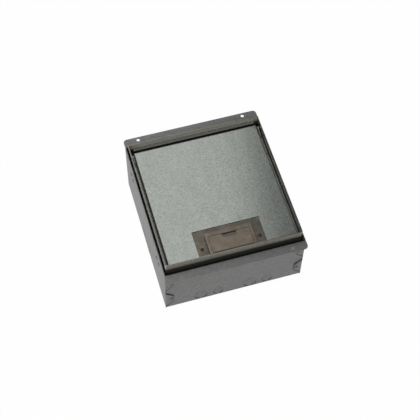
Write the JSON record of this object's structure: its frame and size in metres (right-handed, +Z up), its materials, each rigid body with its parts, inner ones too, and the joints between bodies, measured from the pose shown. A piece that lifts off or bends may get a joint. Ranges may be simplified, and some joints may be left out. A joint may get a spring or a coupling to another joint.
{
  "type": "floor socket box",
  "caption": "Recessed floor socket box: steel back box with screw flanges and knockouts, levelling trim frame, rear-hinged recessed lid and a flip door over the cable exit.",
  "frame": {"origin": "centre of the underside of the back box", "axes": "+X across the box, the data side; +Y towards the hinge side at the rear; +Z up out of the floor"},
  "size_m": [0.307, 0.3682, 0.1673],
  "materials": {
    "galvanised_sheet": "hot-dip galvanised, fine spangle, satin",
    "satin_sheet": "satin zinc-coated sheet",
    "plated_sheet": "zinc-plated pressings",
    "zinc_fastener": "bright zinc-plated turned and formed parts",
    "warm_grey_casting": "warm grey satin coating",
    "brass_screw": "tarnished brass",
    "ivory_nylon": "ivory moulding",
    "dark_polycarbonate": "black moulding",
    "black_rubber": "extruded rubber strip"
  },
  "bodies": {
    "box": {"back_box": "galvanised_sheet", "side_plate_left": "galvanised_sheet", "side_plate_right": "galvanised_sheet", "levelling_brackets": "plated_sheet", "weld_nuts": "zinc_fastener", "power_cover": "plated_sheet", "data_cover": "plated_sheet", "power_receptacles": "ivory_nylon", "data_straps": "plated_sheet", "data_jacks": "dark_polycarbonate", "earthing_stud": "zinc_fastener"},
    "trim_frame": {"trim_ring": "satin_sheet", "ledge_rail_left": "plated_sheet", "ledge_rail_right": "plated_sheet", "ledge_rail_front": "plated_sheet", "lid_seal": "black_rubber", "lid_pivot_pins": "zinc_fastener"},
    "screw_front_left": {"levelling_screw_front_left": "zinc_fastener"},
    "screw_front_right": {"levelling_screw_front_right": "zinc_fastener"},
    "screw_rear_left": {"levelling_screw_rear_left": "zinc_fastener"},
    "screw_rear_right": {"levelling_screw_rear_right": "zinc_fastener"},
    "lid": {"lid_pan": "satin_sheet", "lid_ribs": "plated_sheet", "module_tray": "plated_sheet", "module_base": "warm_grey_casting", "cable_collar": "warm_grey_casting", "module_screws": "brass_screw", "module_nuts": "zinc_fastener", "door_pins": "zinc_fastener"},
    "cable_door": {"cable_door": "warm_grey_casting"}
  },
  "joints": [
    {"name": "frame_levelling", "type": "slide", "parent": "box", "child": "trim_frame", "axis": [0, 0, 1], "range_m": [-0.00762, 0.00953]},
    {"name": "levelling_screw_front_left_turn", "type": "hinge", "parent": "trim_frame", "child": "screw_front_left", "pos_m": [-0.127, -0.108, 0.145], "axis": [0, 0, 1], "range_deg": [-2165, 2705]},
    {"name": "levelling_screw_front_right_turn", "type": "hinge", "parent": "trim_frame", "child": "screw_front_right", "pos_m": [0.127, -0.108, 0.145], "axis": [0, 0, 1], "range_deg": [-2165, 2705]},
    {"name": "levelling_screw_rear_left_turn", "type": "hinge", "parent": "trim_frame", "child": "screw_rear_left", "pos_m": [-0.127, 0.108, 0.145], "axis": [0, 0, 1], "range_deg": [-2165, 2705]},
    {"name": "levelling_screw_rear_right_turn", "type": "hinge", "parent": "trim_frame", "child": "screw_rear_right", "pos_m": [0.127, 0.108, 0.145], "axis": [0, 0, 1], "range_deg": [-2165, 2705]},
    {"name": "lid_hinge", "type": "hinge", "parent": "trim_frame", "child": "lid", "pos_m": [0, 0.1333, 0.1498], "axis": [-1, 0, 0], "range_deg": [0, 126]},
    {"name": "cable_door_hinge", "type": "hinge", "parent": "lid", "child": "cable_door", "pos_m": [0, -0.1482, 0.1642], "axis": [1, 0, 0], "range_deg": [0, 118]}
  ],
  "couplings": [
    {"joint": "levelling_screw_front_left_turn", "follows": "frame_levelling", "rad_per_m": 4947.4},
    {"joint": "levelling_screw_front_right_turn", "follows": "frame_levelling", "rad_per_m": 4947.4},
    {"joint": "levelling_screw_rear_left_turn", "follows": "frame_levelling", "rad_per_m": 4947.4},
    {"joint": "levelling_screw_rear_right_turn", "follows": "frame_levelling", "rad_per_m": 4947.4}
  ]
}
